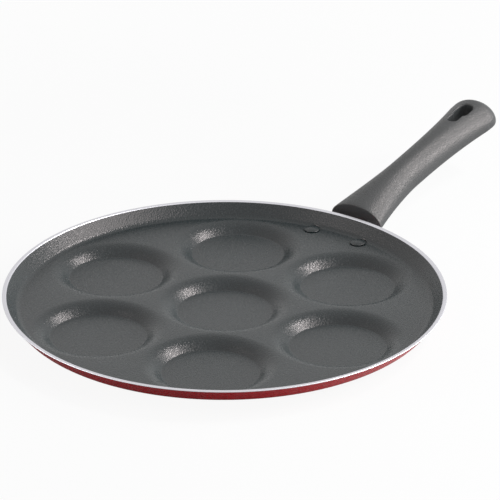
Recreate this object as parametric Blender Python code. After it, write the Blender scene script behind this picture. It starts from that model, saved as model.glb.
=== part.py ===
"""Uttapam tawa: a pressed seven-cavity pan, a riveted bracket and a moulded grip.

Metres, +Z up. The pan stands on z = 0 with its centre at the origin, and +X runs along
the handle. The pan is built outwards from its cavities: their floors and walls set the
pitch, the pitch sets the foot of the pan's wall, and the wall sets the rim and where the
handle starts.
"""
from math import asin, atan2, cos, log, pi, radians, sin, sqrt, tan

import bpy
from mathutils import Vector
from mathutils.geometry import delaunay_2d_cdt

# Fits
SEAT_GAP = 0.0003                # between pieces that seat on each other
HOLE_CLEARANCE = 0.0003          # radial, round a shank, the screw or the insert

# Pan: the sheet and its cavities
SHEET = 0.0021
CAVITY_FLOOR_RADIUS = 0.0301
CAVITY_DEPTH = 0.0058            # from the web's top face to the floor
CAVITY_WALL_ANGLE = radians(38)  # from the horizontal
CAVITY_LIP_ROUND = 0.01591       # most of the wall, so the lip is soft
CAVITY_LAND = 0.0002             # flat web left between two lips
OUTER_CAVITIES = 6
FIRST_CAVITY_TURN = radians(30)  # the handle lies between two cavities

# Pan: the wall and the rim
WALL_HEIGHT = 0.0087             # from the web's top face to the rim
WALL_ANGLE = radians(50)         # from the horizontal
WALL_FILLET = 0.005              # inside the corner of web and wall
LIP_INTO_FILLET = 0.0012         # how far the outer lips run into that corner
RIM_OUTER_ROUND = 0.00035
RIM_INNER_ROUND = 0.0002

# Rivets
RIVET_SPACING = 0.0364
RIVET_SETBACK = 0.0043           # from the wall's foot to the rivets' line
RIVET_HEAD_RADIUS = 0.0051
RIVET_HEAD_HEIGHT = 0.0015
RIVET_SHANK_RADIUS = 0.0025
RIVET_UPSET_RADIUS = 0.0045      # the head formed under the bracket
RIVET_UPSET_HEIGHT = 0.0016
SPOT_FACE_MARGIN = 0.0005        # the flattened seat round a head
SPOT_FACE_DEPTH = 0.0002

# Bracket: a pressed strap with an ear round each rivet and a tongue in the grip
STRAP = 0.002
EAR_MARGIN = 0.0055              # metal round a rivet's shank
BEND_FROM_RIVETS = 0.008
BEND_TO_GRIP = 0.006             # from the second bend to the grip's front
BEND_ROUND = 0.004
TONGUE_ROOT_HALF_WIDTH = 0.010
TONGUE_TIP_HALF_WIDTH = 0.008
TONGUE_LENGTH = 0.038            # inside the grip
TONGUE_DROP = 0.002              # below the grip's mid-height
TONGUE_CORNER = 0.003
BEAD_HEIGHT = 0.0010             # stiffening bead pressed up across the bends
BEAD_HALF_WIDTH = 0.005
BEAD_RUN_OUT = 0.004

# Grip
GRIP_STANDOFF = 0.0082           # from the rim's outer edge to the grip's front
GRIP_FRONT_HEIGHT = 0.0125       # mid-height of the front above the resting plane
GRIP_RISE = radians(9.6)         # the grip's axis climbs away from the pan
GRIP_LENGTH = 0.1587
GRIP_BOW = 0.0015                # crown of the bowed centre line
GRIP_BOW_PLACE = 0.38            # where the crown lies, as a share of the length
FRONT_HALF_WIDTH = 0.0196
WAIST_HALF_WIDTH = 0.0113
PALM_HALF_WIDTH = 0.0172
FRONT_THICKNESS = 0.0187
WAIST_THICKNESS = 0.0204
PALM_THICKNESS = 0.0196
WAIST_PLACE = 0.0579             # from the front
PALM_FROM_END = 0.015
FLARE_POWER = 1.43               # how the sides run from the waist to the front
PALM_POWER = 2.4                 # how they run from the waist to the palm and on
UPPER_SHARE = 0.64               # of the thickness above the widest line
UPPER_POWER = 2.0                # fullness of the section above that line
LOWER_POWER = 2.55               # fullness below it
END_ARC_RADIUS = 0.0189          # the blunt end seen from above
END_CORNER_POWER = 12.8          # how sharply the sides turn into it
END_SIDE_LENGTH = 0.0109         # rounding of the end seen from the side
END_SIDE_POWER = 1.9
END_LEAN = 0.24                  # the end's upper half leans back to the pan
FRONT_EDGE_ROUND = 0.0006

# Hanging hole: a keyhole through the palm
HOLE_FROM_END = 0.0162           # solid left behind the hole
HOLE_RADIUS = 0.0052
HOLE_STRAIGHT = 0.0059           # between the centres of its two round ends
KEY_RADIUS = 0.0037
KEY_REACH = 0.0162               # from the hole's far centre to the key's near centre

# Screw, washer and insert
SCREW_FROM_TIP = 0.016           # from the tongue's tip
SCREW_SHANK_RADIUS = 0.0025
SCREW_HEAD_RADIUS = 0.0046
SCREW_HEAD_HEIGHT = 0.0026
SCREW_TIP_CHAMFER = 0.0005
RECESS_HALF_LENGTH = 0.0025      # one arm of the cross recess
RECESS_HALF_WIDTH = 0.00055
RECESS_DEPTH = 0.0014
WASHER_HALF_WIDTH = 0.0009       # half the width of its square wire
WASHER_THICKNESS = 0.0011
WASHER_SPLIT = radians(10)
WASHER_SPRING = 0.0002           # how far one end stands above the other
COUNTERBORE_DEPTH = 0.0042
COUNTERBORE_MARGIN = 0.0005
INSERT_RADIUS = 0.0040
INSERT_LENGTH = 0.0065

# Facets
CAVITY_SEGMENTS = 36
RIM_SEGMENTS = 108
LIP_STEPS = 4
FILLET_STEPS = 2
ROUND_SEGMENTS = 24
GRIP_SEGMENTS = 28
GRIP_STATIONS = 16
END_STATIONS = 7

# Places that follow from the sizes above
LIP_REACH = (CAVITY_FLOOR_RADIUS + CAVITY_DEPTH / tan(CAVITY_WALL_ANGLE)
             + CAVITY_LIP_ROUND * tan(CAVITY_WALL_ANGLE / 2))
CAVITY_WALL_TOP = LIP_REACH - CAVITY_LIP_ROUND * sin(CAVITY_WALL_ANGLE)
CAVITY_PITCH = 2 * LIP_REACH + CAVITY_LAND
WEB_TOP = SHEET + CAVITY_DEPTH
WEB_UNDERSIDE = CAVITY_DEPTH
RIM_TOP = WEB_TOP + WALL_HEIGHT
LIPS_END = CAVITY_PITCH + LIP_REACH
WALL_FOOT = LIPS_END - LIP_INTO_FILLET
FILLET_END = WALL_FILLET * sin(WALL_ANGLE)
FILLET_RISE = WALL_FILLET * (1 - cos(WALL_ANGLE))
RIM_INSIDE = WALL_FOOT + FILLET_END + (WALL_HEIGHT - FILLET_RISE) / tan(WALL_ANGLE)
RIM_CORNER = RIM_INSIDE + SHEET / sin(WALL_ANGLE)
PAN_RADIUS = RIM_CORNER - RIM_OUTER_ROUND * (tan((pi - WALL_ANGLE) / 2) - 1)
RIVET_LINE = WALL_FOOT - RIVET_SETBACK
RIVET_SEAT = WEB_TOP - SPOT_FACE_DEPTH
EAR_RADIUS = RIVET_SHANK_RADIUS + EAR_MARGIN
STRAP_MIDDLE = WEB_UNDERSIDE - SEAT_GAP - STRAP / 2
GRIP_FRONT = Vector((PAN_RADIUS + GRIP_STANDOFF, 0, GRIP_FRONT_HEIGHT))
GRIP_AXIS = Vector((cos(GRIP_RISE), 0, sin(GRIP_RISE)))
GRIP_UP = Vector((-sin(GRIP_RISE), 0, cos(GRIP_RISE)))
SOCKET_HALF_HEIGHT = STRAP / 2 + SEAT_GAP
SCREW_PLACE = TONGUE_LENGTH - SCREW_FROM_TIP
WASHER_INSIDE = SCREW_SHANK_RADIUS + HOLE_CLEARANCE


def clear_scene():
    for thing in list(bpy.data.objects):
        bpy.data.objects.remove(thing, do_unlink=True)


def material(name, colour, roughness, metallic):
    """Return a Principled material; the colour is linear."""
    finish = bpy.data.materials.new(name)
    finish.use_nodes = True
    shader = finish.node_tree.nodes["Principled BSDF"]
    shader.inputs["Base Color"].default_value = (*colour, 1)
    shader.inputs["Roughness"].default_value = roughness
    shader.inputs["Metallic"].default_value = metallic
    return finish


def add_object(name, mesh, finishes, parent=None):
    """Link an object and give it its materials and its parent."""
    thing = bpy.data.objects.new(name, mesh)
    bpy.context.scene.collection.objects.link(thing)
    for finish in finishes:
        mesh.materials.append(finish)
    thing.parent = parent
    return thing


def mesh_of(name, points, faces, smooth_angle=radians(25)):
    """Return a mesh that is shaded smooth up to an angle between its faces."""
    mesh = bpy.data.meshes.new(name)
    mesh.from_pydata([tuple(point) for point in points], [], faces)
    mesh.shade_smooth()
    mesh.set_sharp_from_angle(angle=smooth_angle)
    return mesh


def turned(name, profile, finishes, parent=None, closed=False):
    """Turn a profile of (radius, height) points about Z.

    The points run down the outer side. A closed profile comes back up its inner side.
    """
    count = len(profile)
    edges = [(i, (i + 1) % count) for i in range(count if closed else count - 1)]
    mesh = bpy.data.meshes.new(name)
    mesh.from_pydata([(radius, 0, height) for radius, height in profile], edges, [])
    thing = add_object(name, mesh, finishes, parent)
    screw = thing.modifiers.new("turn", "SCREW")
    screw.axis = "Z"
    screw.angle = 2 * pi
    screw.steps = screw.render_steps = ROUND_SEGMENTS
    screw.use_merge_vertices = True
    screw.merge_threshold = 0.00001
    screw.use_smooth_shade = True
    return thing


def cutter(thing):
    """Hide an object that only cuts others."""
    thing.hide_render = True
    thing.display_type = "WIRE"
    return thing


def cut(target, *tools):
    for tool in tools:
        boolean = target.modifiers.new(tool.name, "BOOLEAN")
        boolean.operation = "DIFFERENCE"
        boolean.solver = "EXACT"
        boolean.object = tool


def arc(centre, radius, start, end, steps):
    """Return steps + 1 points of an arc, from one angle to the other."""
    cx, cy = centre
    turns = [start + (end - start) * i / steps for i in range(steps + 1)]
    return [(cx + radius * cos(turn), cy + radius * sin(turn)) for turn in turns]


def rounded(before, corner, after, radius, steps):
    """Return the points that round off one corner of an outline."""
    corner = Vector(corner)
    back = (Vector(before) - corner).normalized()
    on = (Vector(after) - corner).normalized()
    half = back.angle(on) / 2
    start = corner + back * radius / tan(half)
    centre = corner + (back + on).normalized() * radius / sin(half)
    first = start - centre
    sweep = pi - 2 * half
    if back.cross(on) > 0:
        sweep = -sweep
    turn = atan2(first.y, first.x)
    return [Vector(p) for p in arc(centre, radius, turn, turn + sweep, steps)]


def prism(name, outline, low, high, finishes, parent=None):
    """Extrude an anticlockwise outline in XY from one height to another."""
    count = len(outline)
    points = [(x, y, z) for z in (low, high) for x, y in outline]
    faces = [list(range(count))[::-1], list(range(count, 2 * count))]
    for i in range(count):
        j = (i + 1) % count
        faces.append((i, j, count + j, count + i))
    return add_object(name, mesh_of(name, points, faces), finishes, parent)


# Pan

def cavity_centres():
    centres = [Vector((0, 0))]
    for i in range(OUTER_CAVITIES):
        turn = FIRST_CAVITY_TURN + 2 * pi * i / OUTER_CAVITIES
        centres.append(CAVITY_PITCH * Vector((cos(turn), sin(turn))))
    return centres


def cavity_profile(distance):
    """Return the drop below the web and the slope at a distance from a cavity's centre."""
    if distance >= LIP_REACH:
        return 0, 0
    if distance >= CAVITY_WALL_TOP:
        run = LIP_REACH - distance
        below = sqrt(CAVITY_LIP_ROUND ** 2 - run ** 2)
        return CAVITY_LIP_ROUND - below, run / below
    wall = CAVITY_WALL_TOP - distance
    lip_drop = CAVITY_LIP_ROUND * (1 - cos(CAVITY_WALL_ANGLE))
    return lip_drop + wall * tan(CAVITY_WALL_ANGLE), tan(CAVITY_WALL_ANGLE)


def wall_profile(radius):
    """Return the rise above the web and the slope of the inner face at a pan radius."""
    run = radius - WALL_FOOT
    if run <= 0:
        return 0, 0
    if run < FILLET_END:
        above = sqrt(WALL_FILLET ** 2 - run ** 2)
        return WALL_FILLET - above, run / above
    return FILLET_RISE + (run - FILLET_END) * tan(WALL_ANGLE), tan(WALL_ANGLE)


def press(point, centres):
    """Return the inner face's point and its outer face's point for a point of the blank."""
    rise, steepness = wall_profile(point.length)
    height = WEB_TOP + rise
    slope = point.normalized() * steepness
    thickness = SHEET
    for centre in centres:
        away = point - centre
        drop, steepness = cavity_profile(away.length)
        if abs(away.length - CAVITY_FLOOR_RADIUS) < SEAT_GAP / 10:
            # The floor's crease is mitred half way between the floor and the wall
            steepness = tan(CAVITY_WALL_ANGLE / 2)
            thickness = SHEET / cos(CAVITY_WALL_ANGLE / 2)
        height -= drop
        slope += away.normalized() * steepness
    inner = Vector((point.x, point.y, height))
    normal = Vector((-slope.x, -slope.y, 1)).normalized()
    return inner, inner - normal * thickness


def ring(plan, centre, radius, segments):
    """Add a ring of points to the plan and return their numbers."""
    first = len(plan)
    for i in range(segments):
        turn = 2 * pi * i / segments
        plan.append(centre + radius * Vector((cos(turn), sin(turn))))
    return list(range(first, first + segments))


def bands(rings):
    """Return the quads between each ring of points and the next."""
    faces = []
    for near, far in zip(rings, rings[1:]):
        for i in range(len(near)):
            j = (i + 1) % len(near)
            faces.append((near[i], far[i], far[j], near[j]))
    return faces


def web_faces(plan, cavity_rims, wall_ring, loose):
    """Triangulate the web between the cavities' outermost rings and the wall's first."""
    used = [i for rim in cavity_rims for i in rim] + wall_ring + loose
    place = {number: i for i, number in enumerate(used)}
    edges = []
    for loop in cavity_rims + [wall_ring]:
        edges += [(place[a], place[b]) for a, b in zip(loop, loop[1:] + loop[:1])]
    result = delaunay_2d_cdt([plan[i] for i in used], edges, [], 0, 1e-9)
    triangles, sources = result[2], result[3]
    holes = [set(rim) for rim in cavity_rims]
    faces = []
    for triangle in triangles:
        corners = [used[sources[i][0]] for i in triangle]
        if any(hole.issuperset(corners) for hole in holes):
            continue
        a, b, c = (plan[i] for i in corners)
        faces.append(corners if (b - a).cross(c - a) > 0 else corners[::-1])
    return faces


def blank():
    """Lay the pan out flat: return its points, its faces and the wall's first ring."""
    plan = []
    faces = []
    rims = []
    centres = cavity_centres()
    radii = [CAVITY_FLOOR_RADIUS]
    for i in range(LIP_STEPS + 1):
        turn = CAVITY_WALL_ANGLE * (1 - i / (LIP_STEPS + 0.5))
        radii.append(LIP_REACH - CAVITY_LIP_ROUND * sin(turn))
    for centre in centres:
        rings = [ring(plan, centre, radius, CAVITY_SEGMENTS) for radius in radii]
        faces.append(rings[0])
        faces += bands(rings)
        rims.append(rings[-1])
    first = LIPS_END + SEAT_GAP
    wall_ring = ring(plan, Vector((0, 0)), first, RIM_SEGMENTS)
    loose = []
    for radius in (WALL_FOOT, (WALL_FOOT + first) / 2):
        for i in range(RIM_SEGMENTS):
            turn = 2 * pi * (i + 0.5) / RIM_SEGMENTS
            point = radius * Vector((cos(turn), sin(turn)))
            if min((point - centre).length for centre in centres) > LIP_REACH:
                loose.append(len(plan))
                plan.append(point)
    return plan, faces + web_faces(plan, rims, wall_ring, loose), wall_ring


def wall_section():
    """Return the wall's outline from the fillet's inside over the rim to its outside."""
    start = asin(min((LIPS_END + SEAT_GAP - WALL_FOOT) / WALL_FILLET, sin(WALL_ANGLE)))
    turns = [start + (WALL_ANGLE - start) * i / FILLET_STEPS for i in range(1, FILLET_STEPS + 1)]
    centre = Vector((WALL_FOOT, WEB_TOP + WALL_FILLET))
    inside = [centre + WALL_FILLET * Vector((sin(t), -cos(t))) for t in turns]
    outside = [centre + (WALL_FILLET + SHEET) * Vector((sin(t), -cos(t))) for t in turns]
    inner = Vector((RIM_INSIDE, RIM_TOP))
    outer = Vector((RIM_CORNER, RIM_TOP))
    section = inside
    section += rounded(inside[-1], inner, outer, RIM_INNER_ROUND, 1)
    section += rounded(inner, outer, outside[-1], RIM_OUTER_ROUND, 3)
    section += outside[::-1]
    return section


def make_pan(coating, enamel, bare):
    plan, faces, wall_ring = blank()
    centres = cavity_centres()
    pairs = [press(point, centres) for point in plan]
    points = [inner for inner, _ in pairs] + [outer for _, outer in pairs]
    count = len(plan)
    rings = [wall_ring]
    for radius, height in wall_section():
        first = len(points)
        for i in range(RIM_SEGMENTS):
            turn = 2 * pi * i / RIM_SEGMENTS
            points.append(Vector((radius * cos(turn), radius * sin(turn), height)))
        rings.append(list(range(first, first + RIM_SEGMENTS)))
    rings.append([i + count for i in wall_ring])
    underside = [[i + count for i in face][::-1] for face in faces]
    mesh = mesh_of("pan_body", points, faces + underside + bands(rings))
    pan = add_object("pan_body", mesh, (coating, enamel, bare))
    for face in mesh.polygons:
        if face.normal.z < 0:
            face.material_index = 1
        elif min(points[i].z for i in face.vertices) > RIM_TOP - RIM_OUTER_ROUND:
            face.material_index = 2
    return pan


def rivet_places():
    return {"left": RIVET_SPACING / 2, "right": -RIVET_SPACING / 2}


def drill_pan(pan, coating):
    """Flatten the seats of the rivets' heads and drill the pan for their shanks."""
    seat = RIVET_HEAD_RADIUS + SPOT_FACE_MARGIN
    hole = RIVET_SHANK_RADIUS + HOLE_CLEARANCE
    profile = [(0, RIM_TOP), (seat, RIM_TOP), (seat, RIVET_SEAT), (hole, RIVET_SEAT),
               (hole, -SHEET), (0, -SHEET)]
    for side, y in rivet_places().items():
        tool = cutter(turned(f"pan_{side}_cutter", profile, [coating]))
        tool.location = (RIVET_LINE, y, 0)
        cut(pan, tool)


# Rivets

def dome(radius, height, base, steps, up=True):
    """Return the points of a low domed head, from its crown to its edge."""
    bulge = (radius ** 2 + height ** 2) / (2 * height)
    span = asin(radius / bulge)
    sign = 1 if up else -1
    points = []
    for i in range(steps + 1):
        turn = span * i / steps
        points.append((bulge * sin(turn), base + sign * (height - bulge * (1 - cos(turn)))))
    return points


def make_rivets(coating):
    """Each rivet has a domed head in the pan, a shank and an upset head under the strap."""
    head_base = RIVET_SEAT + SEAT_GAP
    edge = RIVET_HEAD_HEIGHT / 3
    upset_base = STRAP_MIDDLE - STRAP / 2 - SEAT_GAP
    profile = dome(RIVET_HEAD_RADIUS, RIVET_HEAD_HEIGHT - edge, head_base + edge, 5)
    profile.append((RIVET_HEAD_RADIUS, head_base))
    profile.append((RIVET_SHANK_RADIUS, head_base))
    profile.append((RIVET_SHANK_RADIUS, upset_base))
    profile += dome(RIVET_UPSET_RADIUS, RIVET_UPSET_HEIGHT, upset_base, 4, up=False)[::-1]
    for side, y in rivet_places().items():
        rivet = turned(f"rivet_{side}", profile, [coating])
        rivet.location = (RIVET_LINE, y, 0)


# Bracket

def strap_path():
    """Return the strap's centre line in XZ, from its inner edge to the tongue's tip."""
    start = Vector((RIVET_LINE - EAR_RADIUS, STRAP_MIDDLE))
    bend = Vector((RIVET_LINE + BEND_FROM_RIVETS, STRAP_MIDDLE))
    axis = Vector((GRIP_AXIS.x, GRIP_AXIS.z))
    up = Vector((GRIP_UP.x, GRIP_UP.z))
    root = Vector((GRIP_FRONT.x, GRIP_FRONT.z)) - up * TONGUE_DROP
    second = root - axis * BEND_TO_GRIP
    tip = root + axis * TONGUE_LENGTH
    first_bend = rounded(start, bend, second, BEND_ROUND, 3)
    second_bend = rounded(bend, second, tip, BEND_ROUND, 3)
    return [start] + first_bend + second_bend + [tip]


def lengths_along(path):
    lengths = [0]
    for a, b in zip(path, path[1:]):
        lengths.append(lengths[-1] + (b - a).length)
    return lengths


def on_path(path, lengths, length):
    """Return the point and the direction of a path at a length along it."""
    for i in range(len(path) - 1):
        if length <= lengths[i + 1] or i == len(path) - 2:
            direction = (path[i + 1] - path[i]).normalized()
            return path[i] + direction * (length - lengths[i]), direction


def ease(value):
    value = min(max(value, 0), 1)
    return value * value * (3 - 2 * value)


def strap_half_width(length, neck, total):
    """Return the strap's half width: round ears, then a neck, then the tongue."""
    ear_half = RIVET_SPACING / 2 + EAR_RADIUS
    if length < EAR_RADIUS:
        return RIVET_SPACING / 2 + sqrt(EAR_RADIUS ** 2 - (EAR_RADIUS - length) ** 2)
    if length < neck:
        share = ease((length - EAR_RADIUS) / (neck - EAR_RADIUS))
        return ear_half + (TONGUE_ROOT_HALF_WIDTH - ear_half) * share
    share = (length - neck) / (total - neck)
    width = TONGUE_ROOT_HALF_WIDTH + (TONGUE_TIP_HALF_WIDTH - TONGUE_ROOT_HALF_WIDTH) * share
    left = TONGUE_CORNER - (total - length)
    if left > 0:
        width -= TONGUE_CORNER - sqrt(TONGUE_CORNER ** 2 - left ** 2)
    return width


def bead_lift(length, start, end):
    """Return the bead's height along the strap, which runs out at both its ends."""
    return BEAD_HEIGHT * ease((length - start) / BEAD_RUN_OUT) * ease((end - length) / BEAD_RUN_OUT)


def make_bracket(steel):
    path = strap_path()
    lengths = lengths_along(path)
    total = lengths[-1]
    bead_start = lengths[1]
    neck = lengths[-2]
    stations = [EAR_RADIUS * (1 - cos(pi / 2 * i / 5)) for i in range(6)]
    stations += [EAR_RADIUS + (bead_start - EAR_RADIUS) * i / 3 for i in (1, 2)]
    stations += [bead_start + (neck - bead_start) * i / 9 for i in range(10)]
    corner = total - TONGUE_CORNER
    stations += [neck + (corner - neck) * i / 2 for i in (1, 2)]
    stations += [corner + TONGUE_CORNER * sin(pi / 2 * i / 3) for i in (1, 2, 3)]
    points = []
    for length in stations:
        place, direction = on_path(path, lengths, length)
        up = Vector((-direction.y, direction.x))
        half = strap_half_width(length, neck, total)
        lift = bead_lift(length, bead_start, neck)
        across = (-half, -BEAD_HALF_WIDTH, -BEAD_HALF_WIDTH / 2, 0,
                  BEAD_HALF_WIDTH / 2, BEAD_HALF_WIDTH, half)
        for side, order in ((-1, across), (1, across[::-1])):
            for y in order:
                share = cos(pi / 2 * min(abs(y) / BEAD_HALF_WIDTH, 1)) ** 2
                x, z = place + up * (side * STRAP / 2 + lift * share)
                points.append((x, y, z))
    section = len(points) // len(stations)
    loops = [list(range(i * section, (i + 1) * section)) for i in range(len(stations))]
    faces = bands(loops) + [loops[0], loops[-1][::-1]]
    faces = [tuple(face)[::-1] for face in faces]
    bracket = add_object("handle_bracket", mesh_of("handle_bracket", points, faces), [steel])
    for side, y in rivet_places().items():
        radius = RIVET_SHANK_RADIUS + HOLE_CLEARANCE
        profile = [(0, RIM_TOP), (radius, RIM_TOP), (radius, -SHEET), (0, -SHEET)]
        tool = cutter(turned(f"bracket_{side}_cutter", profile, [steel]))
        tool.location = (RIVET_LINE, y, 0)
        cut(bracket, tool)
    return bracket


# Grip

def between(value, low, high):
    return min(max((value - low) / (high - low), 0), 1)


def rounding(run, length, power):
    """Return the share of a size that is left at a distance before its rounded end."""
    closeness = min(max(1 - run / length, 0), 1)
    return (1 - closeness ** power) ** (1 / power)


def grip_half_width(along):
    """Return the flare, the waist and the palm, cut off by the blunt end's arc."""
    if along < WAIST_PLACE:
        flare = (1 - along / WAIST_PLACE) ** FLARE_POWER
        side = WAIST_HALF_WIDTH + (FRONT_HALF_WIDTH - WAIST_HALF_WIDTH) * flare
    else:
        palm = GRIP_LENGTH - PALM_FROM_END
        swell = ((along - WAIST_PLACE) / (palm - WAIST_PLACE)) ** PALM_POWER
        side = WAIST_HALF_WIDTH + (PALM_HALF_WIDTH - WAIST_HALF_WIDTH) * swell
    left = GRIP_LENGTH - along
    if left >= END_ARC_RADIUS:
        return side
    end = sqrt(max(END_ARC_RADIUS ** 2 - (END_ARC_RADIUS - left) ** 2, 0))
    return side * (1 + (side / max(end, SEAT_GAP)) ** END_CORNER_POWER) ** (-1 / END_CORNER_POWER)


def grip_thickness(along):
    """Return the thickness before the end is rounded."""
    if along < WAIST_PLACE:
        share = along / WAIST_PLACE
        return FRONT_THICKNESS + (WAIST_THICKNESS - FRONT_THICKNESS) * share
    share = between(along, WAIST_PLACE, GRIP_LENGTH - PALM_FROM_END)
    return WAIST_THICKNESS + (PALM_THICKNESS - WAIST_THICKNESS) * share


def grip_middle(along):
    """Return the height of the bowed centre line above the grip's straight axis."""
    share = (along / GRIP_LENGTH) ** (log(0.5) / log(GRIP_BOW_PLACE))
    return 4 * GRIP_BOW * share * (1 - share)


def grip_underside(along):
    return grip_middle(along) - grip_thickness(along) / 2


def signed_power(value, power):
    return abs(value) ** power * (1 if value >= 0 else -1)


def grip_section(along, inset=0):
    """Return one section of the grip, anticlockwise as seen from its far end."""
    thickness = grip_thickness(along)
    half = grip_half_width(along) - inset
    left = rounding(GRIP_LENGTH - along, END_SIDE_LENGTH, END_SIDE_POWER)
    widest = grip_middle(along) - (UPPER_SHARE - 0.5) * thickness
    lean = END_LEAN * between(along, GRIP_LENGTH - PALM_FROM_END, GRIP_LENGTH)
    points = []
    for i in range(GRIP_SEGMENTS):
        turn = 2 * pi * i / GRIP_SEGMENTS
        power = 2 / (UPPER_POWER if sin(turn) >= 0 else LOWER_POWER)
        share = UPPER_SHARE if sin(turn) >= 0 else 1 - UPPER_SHARE
        y = half * signed_power(cos(turn), power)
        z = widest + (share * thickness * left - inset) * signed_power(sin(turn), power)
        points.append(Vector((along - lean * z, y, z)))
    return points


def grip_stations():
    end_start = GRIP_LENGTH - END_ARC_RADIUS
    body = end_start - FRONT_EDGE_ROUND
    stations = [FRONT_EDGE_ROUND + body * i / GRIP_STATIONS for i in range(GRIP_STATIONS + 1)]
    for i in range(1, END_STATIONS):
        stations.append(end_start + END_ARC_RADIUS * sin(pi / 2 * i / END_STATIONS))
    return stations


def keyhole_outline():
    """Return the hanging hole's outline, anticlockwise, in the grip's own plan."""
    far = GRIP_LENGTH - HOLE_FROM_END - HOLE_RADIUS
    near = far - HOLE_STRAIGHT
    key = far - KEY_REACH
    notch = asin(KEY_RADIUS / HOLE_RADIUS)
    outline = arc((far, 0), HOLE_RADIUS, -pi / 2, pi / 2, 10)
    outline += arc((near, 0), HOLE_RADIUS, pi / 2, pi - notch, 4)
    outline += arc((key, 0), KEY_RADIUS, pi / 2, 3 * pi / 2, 8)
    outline += arc((near, 0), HOLE_RADIUS, pi + notch, 3 * pi / 2, 4)
    return outline


def screw_seat():
    """Return the height of the counterbore's floor above the grip's axis."""
    return grip_underside(SCREW_PLACE) + COUNTERBORE_DEPTH


def socket_ceiling():
    return SOCKET_HALF_HEIGHT - TONGUE_DROP


def make_handle_frame():
    """Return the empty at the middle of the grip's front, with X along the grip."""
    frame = bpy.data.objects.new("handle_frame", None)
    bpy.context.scene.collection.objects.link(frame)
    frame.location = GRIP_FRONT
    frame.rotation_euler = (0, -GRIP_RISE, 0)
    return frame


def make_grip(phenolic, frame):
    """Loft the grip, then cut its socket, its hanging hole and its stepped screw bore."""
    loops = [grip_section(0, FRONT_EDGE_ROUND)]
    loops += [grip_section(along) for along in grip_stations()]
    points = [point for loop in loops for point in loop]
    numbers = [list(range(i * GRIP_SEGMENTS, (i + 1) * GRIP_SEGMENTS)) for i in range(len(loops))]
    tip = grip_section(GRIP_LENGTH)
    points.append(sum(tip, Vector()) / GRIP_SEGMENTS)
    last = numbers[-1]
    faces = [face[::-1] for face in bands(numbers)] + [numbers[0][::-1]]
    faces += [(last[i], last[(i + 1) % GRIP_SEGMENTS], len(points) - 1) for i in range(GRIP_SEGMENTS)]
    mesh = mesh_of("handle_grip", points, faces, radians(35))
    grip = add_object("handle_grip", mesh, [phenolic], frame)

    room = SEAT_GAP
    end = TONGUE_LENGTH + room
    outline = [(-BEND_TO_GRIP, -TONGUE_ROOT_HALF_WIDTH - room), (end, -TONGUE_TIP_HALF_WIDTH - room),
               (end, TONGUE_TIP_HALF_WIDTH + room), (-BEND_TO_GRIP, TONGUE_ROOT_HALF_WIDTH + room)]
    low = -TONGUE_DROP - SOCKET_HALF_HEIGHT
    socket = cutter(prism("socket_cutter", outline, low, socket_ceiling(), [phenolic], frame))
    keyhole = cutter(prism("keyhole_cutter", keyhole_outline(), -WAIST_THICKNESS, WAIST_THICKNESS,
                           [phenolic], frame))
    counterbore = SCREW_HEAD_RADIUS + COUNTERBORE_MARGIN
    hole = SCREW_SHANK_RADIUS + HOLE_CLEARANCE
    pocket = INSERT_RADIUS + HOLE_CLEARANCE
    top = socket_ceiling() + INSERT_LENGTH + SEAT_GAP
    bore = [(0, top), (pocket, top), (pocket, -TONGUE_DROP), (hole, -TONGUE_DROP),
            (hole, screw_seat()), (counterbore, screw_seat()), (counterbore, -WAIST_THICKNESS),
            (0, -WAIST_THICKNESS)]
    stepped = cutter(turned("screw_bore_cutter", bore, [phenolic], frame))
    stepped.location = (SCREW_PLACE, 0, 0)
    cut(grip, socket, keyhole, stepped)
    return grip


def pierce_tongue(bracket, steel, frame):
    radius = SCREW_SHANK_RADIUS + HOLE_CLEARANCE
    profile = [(0, 0), (radius, 0), (radius, -2 * TONGUE_DROP - STRAP), (0, -2 * TONGUE_DROP - STRAP)]
    tool = cutter(turned("tongue_cutter", profile, [steel], frame))
    tool.location = (SCREW_PLACE, 0, 0)
    cut(bracket, tool)


def make_fasteners(steel, brass, frame):
    """Make the insert above the tongue, the split washer and the screw from below."""
    floor = socket_ceiling() + SEAT_GAP / 2
    bore = SCREW_SHANK_RADIUS + HOLE_CLEARANCE
    profile = [(INSERT_RADIUS, floor + INSERT_LENGTH), (INSERT_RADIUS, floor),
               (bore, floor), (bore, floor + INSERT_LENGTH)]
    insert = turned("grip_insert", profile, [brass], frame, closed=True)
    insert.location = (SCREW_PLACE, 0, 0)

    washer_top = screw_seat() - SEAT_GAP
    washer = make_washer(steel, frame, washer_top)
    washer.location = (SCREW_PLACE, 0, 0)

    seat = washer_top - WASHER_THICKNESS - WASHER_SPRING - SEAT_GAP
    reach = floor + INSERT_LENGTH
    rim = seat - SCREW_HEAD_HEIGHT / 3
    profile = [(0, reach), (SCREW_SHANK_RADIUS - SCREW_TIP_CHAMFER, reach),
               (SCREW_SHANK_RADIUS, reach - SCREW_TIP_CHAMFER), (SCREW_SHANK_RADIUS, seat),
               (SCREW_HEAD_RADIUS, seat)]
    profile += dome(SCREW_HEAD_RADIUS, SCREW_HEAD_HEIGHT * 2 / 3, rim, 5, up=False)[::-1]
    screw = turned("handle_screw", profile, [steel], frame)
    screw.location = (SCREW_PLACE, 0, 0)
    long, wide = RECESS_HALF_LENGTH, RECESS_HALF_WIDTH
    bottom = seat - SCREW_HEAD_HEIGHT
    cross = [(long, -wide), (long, wide), (wide, wide), (wide, long), (-wide, long), (-wide, wide),
             (-long, wide), (-long, -wide), (-wide, -wide), (-wide, -long), (wide, -long), (wide, -wide)]
    recess = cutter(prism("recess_cutter", cross, bottom - RECESS_DEPTH, bottom + RECESS_DEPTH,
                          [steel], frame))
    recess.location = (SCREW_PLACE, 0, 0)
    cut(screw, recess)


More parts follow.
